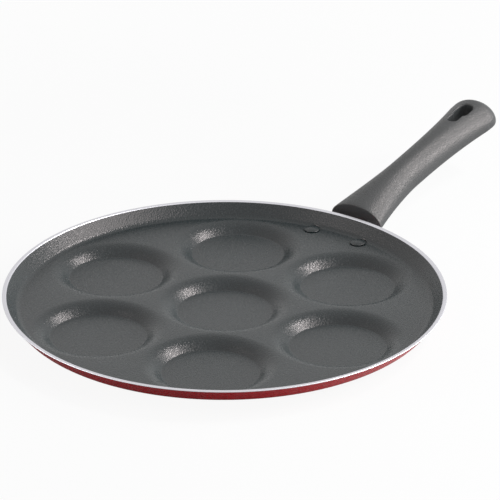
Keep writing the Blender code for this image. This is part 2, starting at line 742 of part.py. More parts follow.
def make_washer(steel, frame, top):
    """Wind one turn of square wire whose ends stand a little apart."""
    inside = WASHER_INSIDE
    outside = inside + 2 * WASHER_HALF_WIDTH
    points = []
    loops = []
    for i in range(ROUND_SEGMENTS + 1):
        share = i / ROUND_SEGMENTS
        turn = WASHER_SPLIT / 2 + (2 * pi - WASHER_SPLIT) * share
        drop = WASHER_SPRING * share
        loops.append(list(range(len(points), len(points) + 4)))
        for radius, height in ((outside, top - drop), (outside, top - drop - WASHER_THICKNESS),
                               (inside, top - drop - WASHER_THICKNESS), (inside, top - drop)):
            points.append((radius * cos(turn), radius * sin(turn), height))
    faces = [face[::-1] for face in bands(loops)] + [loops[0][::-1], loops[-1]]
    return add_object("screw_washer", mesh_of("screw_washer", points, faces), [steel], frame)


def main():
    clear_scene()
    coating = material("speckled_nonstick_coating", (0.095, 0.098, 0.105), 0.45, 0.2)
    enamel = material("red_enamel", (0.30, 0.022, 0.026), 0.2, 0)
    bare = material("trimmed_aluminium", (0.75, 0.75, 0.77), 0.35, 1)
    phenolic = material("moulded_phenolic", (0.075, 0.075, 0.078), 0.35, 0)
    steel = material("zinc_plated_steel", (0.55, 0.55, 0.55), 0.35, 1)
    brass = material("turned_brass", (0.70, 0.52, 0.22), 0.3, 1)
    drill_pan(make_pan(coating, enamel, bare), coating)
    make_rivets(coating)
    bracket = make_bracket(steel)
    frame = make_handle_frame()
    make_grip(phenolic, frame)
    pierce_tongue(bracket, steel, frame)
    make_fasteners(steel, brass, frame)


main()
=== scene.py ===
"""Uttapam tawa: a pressed seven-cavity pan with a riveted, screwed-on moulded handle.

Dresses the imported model: builds the pan, its rivets and its grip finely over the frame, rounds
the edges of the bracket and its fasteners, gives every piece its finish and sets the stage.
Metres, +Z up, +X along the handle away from the pan.
"""
from math import asin, atan2, cos, log, pi, radians, sin, sqrt, tan
from types import SimpleNamespace

import bmesh
import bpy
import numpy as np
from bpy.props import FloatProperty, FloatVectorProperty, PointerProperty
from bpy.types import Operator, Panel, PropertyGroup
from mathutils import Matrix, Vector
from mathutils.geometry import delaunay_2d_cdt


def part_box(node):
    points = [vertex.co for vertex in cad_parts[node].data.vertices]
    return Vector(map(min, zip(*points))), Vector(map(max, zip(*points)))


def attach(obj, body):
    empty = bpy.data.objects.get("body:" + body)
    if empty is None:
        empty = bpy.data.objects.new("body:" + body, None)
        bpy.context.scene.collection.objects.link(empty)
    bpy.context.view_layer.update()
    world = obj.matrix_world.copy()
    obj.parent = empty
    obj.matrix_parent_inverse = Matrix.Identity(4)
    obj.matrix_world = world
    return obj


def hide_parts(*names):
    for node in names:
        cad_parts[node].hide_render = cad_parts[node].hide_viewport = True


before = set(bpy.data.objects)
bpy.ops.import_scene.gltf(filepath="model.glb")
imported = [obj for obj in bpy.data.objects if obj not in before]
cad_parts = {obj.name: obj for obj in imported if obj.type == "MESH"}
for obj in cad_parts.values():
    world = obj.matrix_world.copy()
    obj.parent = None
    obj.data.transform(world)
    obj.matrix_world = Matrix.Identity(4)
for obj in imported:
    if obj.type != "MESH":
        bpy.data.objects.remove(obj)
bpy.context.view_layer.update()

bl_info = {
    "name": "Uttapam tawa",
    "version": (1, 0, 0),
    "blender": (4, 5, 0),
    "location": "3D View > Sidebar > Tawa",
    "description": "Builds a seven-cavity pan with its handle, finishes and stage",
    "category": "Object",
}

# Facets of the fine pieces
CAVITY_SEGMENTS = 96
CREASE_STEPS = 4
WALL_STEPS = 2
LIP_STEPS = 14
RIM_SEGMENTS = 240
FILLET_STEPS = 8
EDGE_STEPS = 4
ROUND_SEGMENTS = 64
GRIP_SEGMENTS = 96
GRIP_STATIONS = 90
END_STATIONS = 24
DOME_STEPS = 12
UPSET_STEPS = 10
HOLE_STEPS = 24
HOLE_SIDE_STEPS = 8
KEY_STEPS = 20
EASED_STEPS = 3

# Angles between faces: shaded smooth up to the first three, and bevelled past the last
SMOOTH_PLAIN = radians(30)
SMOOTH_ROUND = radians(40)
SMOOTH_CARVED = radians(32)
BEVELLED = radians(35)

# Fixed sizes in metres: clearances, the seats under the rivets' heads, and eased edges
FIT_GAP = 0.0003
SEAT_MARGIN = 0.0005
SEAT_BLEND = 0.0006
BRACKET_EDGE = 0.0003
SCREW_EDGE = 0.00015
WASHER_EDGE = 0.00012
GRIP_EDGE = 0.0006

# Mesh spacing in metres: round the rivets' seats, outside the fillet, and for measuring slopes
POINT_GAP = 0.0003
BORDER_GAP = 0.0001
SLOPE_STEP = 1e-5

# Shares: a rivet's upright edge of its head's height, the round of that edge, and the upset
# head's radius of the node's width
EDGE_SHARE = 1 / 3
ROLL_SHARE = 0.45
UPSET_SHARE = 0.44

# The grip's curves: powers of its flare, palm, end and section, and shares of its thickness
FLARE_POWER = 1.43
PALM_POWER = 2.4
END_POWER = 12.8
END_SIDE_POWER = 1.9
UPPER_POWER = 2.0
LOWER_POWER = 2.55
UPPER_SHARE = 0.64
LOWER_SHARE = 0.36
WIDEST_DROP = 0.14
LEAST_WIDTH = 0.0001

# The hanging hole's round: how far its cutter passes the skin, as a share of the round, where
# the arc starts, and the limit on how far a corner moves
FLARE_PAST = 0.15
FLARE_START = radians(12)
LEAST_SPREAD = 0.5

# The socket and the screw's bore, in metres on the grip's own axes
SOCKET_FROM = -0.006
SOCKET_TO = 0.0383
SOCKET_HALF = 0.0013
SOCKET_DROP = 0.002
TONGUE_ROOT = 0.010
TONGUE_TIP = 0.008
SCREW_PLACE = 0.022
INSERT_BORE = 0.0043
INSERT_REACH = 0.0068
SHANK_BORE = 0.0028
HEAD_BORE = 0.0051
HEAD_DEPTH = 0.0042
MOUTH_BORE = 0.0061
MOUTH_HALF = 0.0005
BORE_FROM = -0.02

# The stage, in metres: rings of the floor, how far it lies under the pan, what the lamps face
FLOOR_RINGS = (0.4, 1.2, 4.0)
FLOOR_DROP = 0.0002
LAMP_AIM = (0, 0, 0.02)

# Lamps: name, degrees to the right of the line of view and above the floor, distance and size in
# metres, watts
LAMPS = (
    ("key", 106, 43, 1.0, (0.9, 0.45), 5.2),
    ("low", 78, 18, 1.0, (0.36, 0.36), 6.7),
    ("accent", 62, 48, 2.5, (0.6, 0.3), 22.5),
    ("skirt", 116, 8, 1.0, (0.4, 0.12), 5.5),
    ("side", -98, 12, 1.0, (0.8, 0.4), 4.6),
    ("fill", -108, 42, 1.0, (0.5, 0.4), 0.8),
)


def linear(code):
    """Turn an sRGB hex code into a linear colour."""
    values = [int(code[i:i + 2], 16) / 255 for i in (0, 2, 4)]
    return tuple(v / 12.92 if v <= 0.04045 else ((v + 0.055) / 1.055) ** 2.4 for v in values)


# Settings

def length(name, description, default):
    """Return a setting in metres."""
    return FloatProperty(name=name, description=description, default=default, min=0,
                         precision=5, unit="LENGTH", subtype="DISTANCE")


def angle(name, description, degrees):
    """Return a setting that is written in degrees and kept in radians."""
    return FloatProperty(name=name, description=description, default=radians(degrees),
                         unit="ROTATION", subtype="ANGLE")


def plain(name, description, default):
    """Return a setting without a unit."""
    return FloatProperty(name=name, description=description, default=default)


def colour(name, description, code):
    """Return a colour setting from its sRGB hex code."""
    return FloatVectorProperty(name=name, description=description, default=linear(code),
                               size=3, min=0, max=1, subtype="COLOR")


class TawaPanSizes(PropertyGroup):
    """Sizes of the pressed pan and its rivets."""
    sheet: length("Sheet", "Thickness of the pressed sheet", 0.0021)
    floor_radius: length("Cavity floor", "Radius of a cavity's flat floor", 0.0301)
    depth: length("Cavity depth", "From the web's top face to a cavity's floor", 0.0058)
    cavity_angle: angle("Cavity wall", "Slope of a cavity's wall", 38)
    crease_round: length("Crease round", "Round between a floor and its wall", 0.0019)
    lip_round: length("Lip round", "Round between a cavity's wall and the web", 0.01591)
    land: length("Land", "Flat web left between two lips", 0.0002)
    wall_height: length("Wall height", "From the web's top face to the rim", 0.0087)
    wall_angle: angle("Wall slope", "Slope of the pan's wall", 50)
    wall_fillet: length("Wall fillet", "Round in the corner of web and wall", 0.005)
    lip_into_fillet: length("Lip overlap", "How far the outer lips run into that corner", 0.0012)
    rim_outer_round: length("Rim, outside", "Round of the rim's outer edge", 0.00035)
    rim_inner_round: length("Rim, inside", "Round of the rim's inner edge", 0.0012)
    rivet_spacing: length("Rivet spacing", "Between the centres of the rivets", 0.0364)
    rivet_setback: length("Rivet setback", "From the wall's foot to the rivets' line", 0.0043)
    head_radius: length("Rivet head", "Radius of a rivet's head", 0.0051)
    head_height: length("Head height", "Height of a rivet's head", 0.0015)
    shank_radius: length("Shank", "Radius of a rivet's shank", 0.0025)
    seat_depth: length("Seat depth", "How deep a head's seat is flattened", 0.0002)


class TawaGripSizes(PropertyGroup):
    """Sizes of the moulded grip and its openings."""
    standoff: length("Stand-off", "From the rim's outer edge to the grip's front", 0.0082)
    front_height: length("Front height", "Mid-height of the grip's front", 0.0125)
    rise: angle("Rise", "How the grip's axis climbs away from the pan", 9.6)
    length: length("Length", "Length of the grip", 0.1587)
    bow: length("Bow", "Crown of the bowed centre line", 0.0015)
    bow_place: plain("Bow place", "Where the crown lies, as a share of the length", 0.38)
    front_half: length("Front", "Half width at the front", 0.0196)
    waist_half: length("Waist", "Half width at the waist", 0.0113)
    palm_half: length("Palm", "Half width at the palm", 0.0172)
    front_thick: length("Front thickness", "Thickness at the front", 0.0187)
    waist_thick: length("Waist thickness", "Thickness at the waist", 0.0204)
    palm_thick: length("Palm thickness", "Thickness at the palm", 0.0196)
    waist_place: length("Waist place", "From the front to the waist", 0.0579)
    palm_from_end: length("Palm place", "From the palm to the end", 0.015)
    end_arc: length("End arc", "Radius of the blunt end seen from above", 0.0189)
    end_side: length("End rounding", "Rounding of the end seen from the side", 0.0109)
    end_lean: plain("End lean", "How the end's upper half leans back", 0.24)
    hole_from_end: length("Hole place", "Solid left behind the hanging hole", 0.0162)
    hole_radius: length("Hole", "Radius of the hanging hole's wide end", 0.0052)
    hole_straight: length("Hole straight", "Straight part of the wide end", 0.0059)
    key_radius: length("Key", "Radius of the hanging hole's narrow end", 0.0037)
    key_reach: length("Key reach", "From the wide end's centre to the narrow end's", 0.0162)
    hole_round: length("Hole round", "Round of the hanging hole's edges", 0.0009)


class TawaColours(PropertyGroup):
    """Colours of the finishes."""
    coating: colour("Coating", "Non-stick coating inside the pan", "172123")
    fleck: colour("Fleck", "Pale flecks in the coating", "8C8A89")
    enamel: colour("Enamel", "Enamel outside the pan", "93111A")
    aluminium: colour("Aluminium", "Bare trimmed rim", "CBCACF")
    phenolic: colour("Phenolic", "Moulded grip", "313435")
    zinc: colour("Zinc plate", "Bracket, screw and washer", "C6C8C8")
    brass: colour("Brass", "Threaded insert", "C9A961")
    floor: colour("Floor", "Floor and backdrop", "D0D0D0")


class TawaStudio(PropertyGroup):
    """Where the camera and the lamps are."""
    turn: angle("Camera turn", "Direction of view in plan, from the handle", 35.4)
    drop: angle("Camera drop", "How far the camera looks down", 24.857)
    distance: length("Camera distance", "From the camera to what it aims at", 2.25465)
    lens: FloatProperty(name="Lens", description="Focal length", default=257.77, unit="CAMERA")
    aim: FloatVectorProperty(name="Aim", description="Point that the camera aims at", size=3,
                             default=(0.01795, -0.00684, 0.03965), unit="LENGTH",
                             subtype="TRANSLATION")
    lamps: plain("Lamps", "Scale of every lamp's power", 1.0)
    world: plain("World", "Strength of the light from all round", 0.1)


# Meshes

def bands(rings):
    """Return the quads between each ring of points and the next."""
    faces = []
    for near, far in zip(rings, rings[1:]):
        for i in range(len(near)):
            j = (i + 1) % len(near)
            faces.append((near[i], far[i], far[j], near[j]))
    return faces


def arc(centre, radius, start, end, steps):
    """Return steps + 1 points of an arc, from one angle to the other."""
    cx, cy = centre
    turns = [start + (end - start) * i / steps for i in range(steps + 1)]
    return [(cx + radius * cos(turn), cy + radius * sin(turn)) for turn in turns]


def rounded(before, corner, after, radius, steps):
    """Return the points and outward normals that round off one corner of an outline."""
    corner = Vector(corner)
    back = (Vector(before) - corner).normalized()
    on = (Vector(after) - corner).normalized()
    half = back.angle(on) / 2
    start = corner + back * radius / tan(half)
    centre = corner + (back + on).normalized() * radius / sin(half)
    first = start - centre
    sweep = pi - 2 * half
    if back.cross(on) > 0:
        sweep = -sweep
    turn = atan2(first.y, first.x)
    points = [Vector(p) for p in arc(centre, radius, turn, turn + sweep, steps)]
    return [(point, (point - centre) / radius) for point in points]


def link_new(name, data):
    """Link a new object that holds a mesh, a lamp or a camera, and return it."""
    thing = bpy.data.objects.new(name, data)
    bpy.context.scene.collection.objects.link(thing)
    return thing


def add_piece(name, mesh, finishes, replaced):
    """Link a piece, finish it, and let it ride on the part in place of its node."""
    piece = link_new(name, mesh)
    for finish in finishes:
        mesh.materials.append(finish)
    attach(piece, "root")
    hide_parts(replaced)
    return piece


def mesh_of(name, points, faces, smooth_angle=SMOOTH_PLAIN):
    """Return a mesh that is shaded smooth up to an angle between its faces."""
    mesh = bpy.data.meshes.new(name)
    mesh.from_pydata([tuple(point) for point in points], [], faces)
    mesh.shade_smooth()
    mesh.set_sharp_from_angle(angle=smooth_angle)
    return mesh


def turned(name, profile):
    """Turn a profile of (radius, height) points about Z; both its ends lie on the axis."""
    points = [(0, 0, profile[0][1])]
    rings = []
    for radius, height in profile[1:-1]:
        rings.append(list(range(len(points), len(points) + ROUND_SEGMENTS)))
        for i in range(ROUND_SEGMENTS):
            turn = 2 * pi * i / ROUND_SEGMENTS
            points.append((radius * cos(turn), radius * sin(turn), height))
    points.append((0, 0, profile[-1][1]))
    faces = [face[::-1] for face in bands(rings)]
    for i in range(ROUND_SEGMENTS):
        j = (i + 1) % ROUND_SEGMENTS
        faces.append((0, rings[0][i], rings[0][j])[::-1])
        faces.append((len(points) - 1, rings[-1][j], rings[-1][i])[::-1])
    return face_out(mesh_of(name, points, faces, SMOOTH_ROUND))


def face_out(mesh):
    """Turn a closed mesh's faces outwards, and return it."""
    work = bmesh.new()
    work.from_mesh(mesh)
    if work.calc_volume(signed=True) < 0:
        bmesh.ops.reverse_faces(work, faces=work.faces)
    work.to_mesh(mesh)
    work.free()
    return mesh


def carve(piece, tools):
    """Cut tools out of a piece for good, and remove them."""
    for tool in tools:
        boolean = piece.modifiers.new(tool.name, "BOOLEAN")
        boolean.operation = "DIFFERENCE"
        boolean.solver = "EXACT"
        boolean.object = tool
    bpy.context.view_layer.update()
    shown = piece.evaluated_get(bpy.context.evaluated_depsgraph_get())
    mesh = bpy.data.meshes.new_from_object(shown)
    piece.modifiers.clear()
    piece.data = mesh
    for tool in tools:
        bpy.data.objects.remove(tool, do_unlink=True)


# Pan

def pan_shape(sizes):
    """Work out the pan's places from its sizes."""
    s = SimpleNamespace(**{key: getattr(sizes, key) for key in sizes.__annotations__})
    s.slope = tan(s.cavity_angle)
    s.lip_reach = s.floor_radius + s.depth / s.slope + s.lip_round * tan(s.cavity_angle / 2)
    s.wall_top = s.lip_reach - s.lip_round * sin(s.cavity_angle)
    s.lip_drop = s.lip_round * (1 - cos(s.cavity_angle))
    s.crease_start = s.floor_radius - s.crease_round * tan(s.cavity_angle / 2)
    s.crease_end = s.crease_start + s.crease_round * sin(s.cavity_angle)
    s.web_top = s.sheet + s.depth
    s.rim_top = s.web_top + s.wall_height
    pitch = 2 * s.lip_reach + s.land
    turns = [radians(30 + 60 * i) for i in range(6)]
    s.centres = [Vector((0, 0))] + [pitch * Vector((cos(turn), sin(turn))) for turn in turns]
    s.foot = pitch + s.lip_reach - s.lip_into_fillet
    s.fillet_end = s.wall_fillet * sin(s.wall_angle)
    s.fillet_rise = s.wall_fillet * (1 - cos(s.wall_angle))
    s.rim_inside = s.foot + s.fillet_end + (s.wall_height - s.fillet_rise) / tan(s.wall_angle)
    s.rim_corner = s.rim_inside + s.sheet / sin(s.wall_angle)
    s.radius = s.rim_corner - s.rim_outer_round * (tan((pi - s.wall_angle) / 2) - 1)
    s.rivets = [Vector((s.foot - s.rivet_setback, side * s.rivet_spacing / 2))
                for side in (1, -1)]
    s.seat = s.web_top - s.seat_depth
    s.seat_radius = s.head_radius + SEAT_MARGIN
    s.hole = s.shank_radius + FIT_GAP
    return s


def cavity_drop(s, away):
    """Return how far the sheet lies below the web at distances from a cavity's centre."""
    run = np.clip(away - s.crease_start, 0, s.crease_round * sin(s.cavity_angle))
    crease = s.depth - s.crease_round + np.sqrt(s.crease_round ** 2 - run ** 2)
    wall = s.lip_drop + (s.wall_top - away) * s.slope
    run = np.clip(s.lip_reach - away, 0, s.lip_round * sin(s.cavity_angle))
    lip = s.lip_round - np.sqrt(s.lip_round ** 2 - run ** 2)
    return np.select([away < s.crease_end, away < s.wall_top], [crease, wall], lip)


def pan_height(s, plan, seats):
    """Return the height of the pan's inner face over points of the plan."""
    away = np.hypot(plan[:, 0], plan[:, 1])
    run = np.clip(away - s.foot, 0, s.fillet_end)
    rise = s.wall_fillet - np.sqrt(s.wall_fillet ** 2 - run ** 2)
    height = s.web_top + rise + np.clip(away - s.foot - s.fillet_end, 0, None) * tan(s.wall_angle)
    for x, y in s.centres:
        height = height - cavity_drop(s, np.hypot(plan[:, 0] - x, plan[:, 1] - y))
    for x, y in s.rivets if seats else ():
        away = np.hypot(plan[:, 0] - x, plan[:, 1] - y)
        share = np.clip((s.seat_radius + SEAT_BLEND - away) / SEAT_BLEND, 0, 1)
        height = height + (s.seat - height) * share ** 2 * (3 - 2 * share)
    return height


def pan_face(s, plan, seats):
    """Return points of the pan's inner face and its normals there."""
    along_x, along_y = np.array((SLOPE_STEP, 0)), np.array((0, SLOPE_STEP))
    tilt_x = pan_height(s, plan + along_x, seats) - pan_height(s, plan - along_x, seats)
    tilt_y = pan_height(s, plan + along_y, seats) - pan_height(s, plan - along_y, seats)
    normals = np.stack([-tilt_x, -tilt_y, np.full(len(plan), 2 * SLOPE_STEP)], 1)
    normals /= np.linalg.norm(normals, axis=1)[:, None]
    return np.column_stack([plan, pan_height(s, plan, seats)]), normals


def ring(plan, centre, radius, segments, start=0.0):
    """Add a ring of points to the plan and return their numbers."""
    first = len(plan)
    for i in range(segments):
        turn = start + 2 * pi * i / segments
        plan.append((centre[0] + radius * cos(turn), centre[1] + radius * sin(turn)))
    return list(range(first, first + segments))


def web_faces(plan, islands, border, loose):
    """Triangulate the web between the islands' rims and the border ring."""
    used = [i for rim in islands for i in rim] + border + loose
    place = {number: i for i, number in enumerate(used)}
    edges = []
    for loop in islands + [border]:
        edges += [(place[a], place[b]) for a, b in zip(loop, loop[1:] + loop[:1])]
    whole_hull, tolerance = 0, 1e-9
    result = delaunay_2d_cdt([Vector(plan[i]) for i in used], edges, [], whole_hull, tolerance)
    triangles, sources = result[2], result[3]
    inside = [set(rim) for rim in islands]
    faces = []
    for triangle in triangles:
        corners = [used[sources[i][0]] for i in triangle]
        if any(rim.issuperset(corners) for rim in inside):
            continue
        a, b, c = (Vector(plan[i]) for i in corners)
        faces.append(corners if (b - a).cross(c - a) > 0 else corners[::-1])
    return faces


def pan_plan(s):
    """Lay the pan out flat: its points, faces, border ring and the rivets' holes."""
    plan, faces, islands, holes = [], [], [], []
    radii = [s.crease_start + s.crease_round * sin(s.cavity_angle * i / CREASE_STEPS)
             for i in range(CREASE_STEPS + 1)]
    radii += [s.crease_end + (s.wall_top - s.crease_end) * i / WALL_STEPS
              for i in range(1, WALL_STEPS)]
    # The last ring stops half a step before the lip's end, and the web starts there
    radii += [s.lip_reach - s.lip_round * sin(s.cavity_angle * (1 - i / (LIP_STEPS + 0.5)))
              for i in range(LIP_STEPS + 1)]
    for centre in s.centres:
        rings = [ring(plan, centre, radius, CAVITY_SEGMENTS) for radius in radii]
        faces.append(rings[0])
        faces += bands(rings)
        islands.append(rings[-1])
    for centre in s.rivets:
        outside = s.seat_radius + SEAT_BLEND
        radii = (s.hole, s.seat_radius, s.seat_radius + SEAT_BLEND / 3,
                 s.seat_radius + SEAT_BLEND * 2 / 3, outside)
        rings = [ring(plan, centre, radius, ROUND_SEGMENTS) for radius in radii]
        faces += bands(rings)
        islands.append(rings[-1])
        holes.append(rings[0])
    border = ring(plan, (0, 0), s.foot + s.fillet_end + BORDER_GAP, RIM_SEGMENTS)
    loose = []
    for step in range(FILLET_STEPS):
        radius = s.foot + s.wall_fillet * sin(s.wall_angle * step / FILLET_STEPS)
        for i in ring(plan, (0, 0), radius, RIM_SEGMENTS, pi / RIM_SEGMENTS * (step % 2)):
            x, y = plan[i]
            clear = min((Vector((x, y)) - centre).length for centre in s.centres) > s.lip_reach
            past = min((Vector((x, y)) - centre).length for centre in s.rivets)
            if clear and past > outside + POINT_GAP:
                loose.append(i)
    return plan, faces + web_faces(plan, islands, border, loose), border, holes


def rim_section(s):
    """Return the rim's points and normals, from its inner edge to its outer edge."""
    inner = Vector((s.rim_inside, s.rim_top))
    outer = Vector((s.rim_corner, s.rim_top))
    down = Vector((cos(s.wall_angle), sin(s.wall_angle))) * s.wall_height / 2
    section = rounded(inner - down, inner, outer, s.rim_inner_round, EDGE_STEPS)
    return section + rounded(inner, outer, outer - down, s.rim_outer_round, 2 * EDGE_STEPS)


def make_pan(sizes, finishes):
    """Press the sheet over the plan, add its rim and drill it for the rivets."""
    s = pan_shape(sizes)
    plan, faces, border, holes = pan_plan(s)
    count = len(plan)
    flat = np.array(plan)
    inner, inner_normals = pan_face(s, flat, True)
    middle, normals = pan_face(s, flat, False)
    points = list(inner) + list(middle - normals * s.sheet)
    shading = list(inner_normals) + list(-normals)
    rings = [border]
    for place, normal in rim_section(s):
        rings.append(list(range(len(points), len(points) + RIM_SEGMENTS)))
        for i in range(RIM_SEGMENTS):
            turn = 2 * pi * i / RIM_SEGMENTS
            points.append((place.x * cos(turn), place.x * sin(turn), place.y))
            shading.append((normal.x * cos(turn), normal.x * sin(turn), normal.y))
    rings.append([i + count for i in border])
    groups = [(faces, 0), (bands(rings[:2]), 0), (bands(rings[1:-1]), 2), (bands(rings[-2:]), 1),
              ([[i + count for i in face][::-1] for face in faces], 1)]
    bores = [face for hole in holes for face in bands([[i + count for i in hole], hole])]
    groups.append((bores, 0))
    used = sorted({i for group, _ in groups for face in group for i in face})
    number = {old: new for new, old in enumerate(used)}
    all_faces = [[number[i] for i in face] for group, _ in groups for face in group]
    mesh = bpy.data.meshes.new("pressed_pan")
    mesh.from_pydata([tuple(points[i]) for i in used], [], all_faces)
    mesh.polygons.foreach_set("material_index", [m for group, m in groups for _ in group])
    mesh.shade_smooth()
    first_bore = len(all_faces) - len(bores)
    corners = []
    for face in mesh.polygons:
        for i in face.vertices:
            flat_face = face.index >= first_bore
            corners.append(tuple(face.normal) if flat_face else tuple(shading[used[i]]))
    mesh.normals_split_custom_set(corners)
    add_piece("pressed_pan", mesh, finishes, "pan_body")


# Rivets

def dome(radius, height, base, steps, up=True):
    """Return the points of a low domed head, from its crown to its edge."""
    bulge = (radius ** 2 + height ** 2) / (2 * height)
    span = asin(radius / bulge)
    sign = 1 if up else -1
    points = []
    for i in range(steps + 1):
        turn = span * i / steps
        points.append((bulge * sin(turn), base + sign * (height - bulge * (1 - cos(turn)))))
    return points


def make_rivets(sizes, finish):
    """Turn each rivet: a domed head with a rolled edge, a shank and an upset head."""
    s = pan_shape(sizes)
    low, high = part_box("rivet_left")
    base = s.seat + FIT_GAP
    edge = s.head_height * EDGE_SHARE
    upset_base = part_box("handle_bracket")[0].z - FIT_GAP
    crown = dome(s.head_radius, s.head_height - edge, base + edge, DOME_STEPS)
    profile = crown[:-1]
    corner = rounded(crown[-2], crown[-1], (s.head_radius, base), edge * ROLL_SHARE, EDGE_STEPS)
    profile += [tuple(point) for point, _ in corner]
    profile += [(s.head_radius, base), (s.shank_radius, base), (s.shank_radius, upset_base)]
    upset_radius = (high.x - low.x) * UPSET_SHARE
    profile += dome(upset_radius, upset_base - low.z, upset_base, UPSET_STEPS, up=False)[::-1]
    for side, place in zip(("left", "right"), s.rivets):
        mesh = turned("domed_rivet_" + side, profile)
        mesh.transform(Matrix.Translation((place.x, place.y, 0)))
        add_piece("domed_rivet_" + side, mesh, [finish], "rivet_" + side)


# Grip

def grip_shape(pan, grip):
    """Gather the grip's sizes, with the place of its front in the part."""
    g = SimpleNamespace(**{key: getattr(grip, key) for key in grip.__annotations__})
    g.front = Vector((pan_shape(pan).radius + g.standoff, 0, g.front_height))
    return g


def to_part(g):
    """Return the matrix that takes the grip's own axes to the part's."""
    return Matrix.Translation(g.front) @ Matrix.Rotation(-g.rise, 4, "Y")


def rounding(run, reach, power):
    """Return the share of a size that is left at a distance before its rounded end."""
    closeness = min(max(1 - run / reach, 0), 1)
    return (1 - closeness ** power) ** (1 / power)


def grip_half_width(g, along):
    """Return half the width of flare, waist and palm, cut off by the blunt end's arc."""
    if along < g.waist_place:
        flare = (1 - along / g.waist_place) ** FLARE_POWER
        side = g.waist_half + (g.front_half - g.waist_half) * flare
    else:
        palm = g.length - g.palm_from_end
        swell = ((along - g.waist_place) / (palm - g.waist_place)) ** PALM_POWER
        side = g.waist_half + (g.palm_half - g.waist_half) * swell
    left = g.length - along
    if left >= g.end_arc:
        return side
    end = sqrt(max(g.end_arc ** 2 - (g.end_arc - left) ** 2, 0))
    return side * (1 + (side / max(end, LEAST_WIDTH)) ** END_POWER) ** (-1 / END_POWER)


def grip_thickness(g, along):
    """Return the thickness before the end is rounded."""
    if along < g.waist_place:
        return g.front_thick + (g.waist_thick - g.front_thick) * along / g.waist_place
    run = g.length - g.palm_from_end - g.waist_place
    share = min((along - g.waist_place) / run, 1)
    return g.waist_thick + (g.palm_thick - g.waist_thick) * share


def grip_middle(g, along):
    """Return the height of the bowed centre line above the grip's straight axis."""
    share = (along / g.length) ** (log(0.5) / log(g.bow_place))
    return 4 * g.bow * share * (1 - share)


def signed_power(value, power):
    """Raise a value's size to a power and keep its sign."""
    return abs(value) ** power * (1 if value >= 0 else -1)


def grip_section(g, along, inset=0.0):
    """Return one section of the grip, anticlockwise as seen from its far end."""
    thickness = grip_thickness(g, along)
    half = grip_half_width(g, along) - inset
    left = rounding(g.length - along, g.end_side, END_SIDE_POWER)
    widest = grip_middle(g, along) - WIDEST_DROP * thickness
    lean = g.end_lean * min(max(1 - (g.length - along) / g.palm_from_end, 0), 1)
    points = []
    for i in range(GRIP_SEGMENTS):
        turn = 2 * pi * i / GRIP_SEGMENTS
        upper = sin(turn) >= 0
        power = 2 / (UPPER_POWER if upper else LOWER_POWER)
        reach = (UPPER_SHARE if upper else LOWER_SHARE) * thickness * left - inset
        z = widest + reach * signed_power(sin(turn), power)
        points.append(Vector((along - lean * z, half * signed_power(cos(turn), power), z)))
    return points


def grip_mesh(g):
    """Loft the grip's outside from its rounded front edge to its blunt end."""
    loops = [grip_section(g, GRIP_EDGE * (1 - cos(pi / 2 * i / EDGE_STEPS)),
                          GRIP_EDGE * (1 - sin(pi / 2 * i / EDGE_STEPS)))
             for i in range(EDGE_STEPS)]
    body = g.length - g.end_arc - GRIP_EDGE
    loops += [grip_section(g, GRIP_EDGE + body * i / GRIP_STATIONS)
              for i in range(GRIP_STATIONS + 1)]
    for i in range(1, END_STATIONS):
        loops.append(grip_section(g, g.length - g.end_arc * (1 - sin(pi / 2 * i / END_STATIONS))))
    points = [point for loop in loops for point in loop]
    numbers = [list(range(i * GRIP_SEGMENTS, (i + 1) * GRIP_SEGMENTS)) for i in range(len(loops))]
    points.append(sum(grip_section(g, g.length), Vector()) / GRIP_SEGMENTS)
    last = numbers[-1]
    faces = [face[::-1] for face in bands(numbers)] + [numbers[0][::-1]]
    faces += [(last[i], last[(i + 1) % GRIP_SEGMENTS], len(points) - 1)
              for i in range(GRIP_SEGMENTS)]
    return mesh_of("moulded_grip", points, faces, SMOOTH_ROUND)


def keyhole_outline(g):
    """Return the hanging hole's outline, anticlockwise, in the grip's own plan."""
    far = g.length - g.hole_from_end - g.hole_radius
    near = far - g.hole_straight
    key = far - g.key_reach
    notch = asin(g.key_radius / g.hole_radius)
    outline = arc((far, 0), g.hole_radius, -pi / 2, pi / 2, HOLE_STEPS)
    outline += arc((near, 0), g.hole_radius, pi / 2, pi - notch, HOLE_SIDE_STEPS)
    outline += arc((key, 0), g.key_radius, pi / 2, 3 * pi / 2, KEY_STEPS)
    outline += arc((near, 0), g.hole_radius, pi + notch, 3 * pi / 2, HOLE_SIDE_STEPS)
    return [Vector(point) for point in outline]


def widened(outline, by):
    """Return an anticlockwise outline moved outwards by a distance."""
    moved = []
    for i, point in enumerate(outline):
        back = (point - outline[i - 1]).normalized()
        on = (outline[(i + 1) % len(outline)] - point).normalized()
        normal = Vector((back.y + on.y, -back.x - on.x)).normalized()
        spread = max(normal.dot(Vector((on.y, -on.x))), LEAST_SPREAD)
        moved.append(point + normal * by / spread)
    return moved


def skin_height(g, place, upper):
    """Return the height of the grip's upper or lower skin over a point of its plan."""
    half = grip_half_width(g, place.x)
    thickness = grip_thickness(g, place.x)
    power = UPPER_POWER if upper else LOWER_POWER
    share = (1 - min(abs(place.y) / half, 1) ** power) ** (1 / power)
    widest = grip_middle(g, place.x) - WIDEST_DROP * thickness
    return widest + (UPPER_SHARE if upper else -LOWER_SHARE) * thickness * share


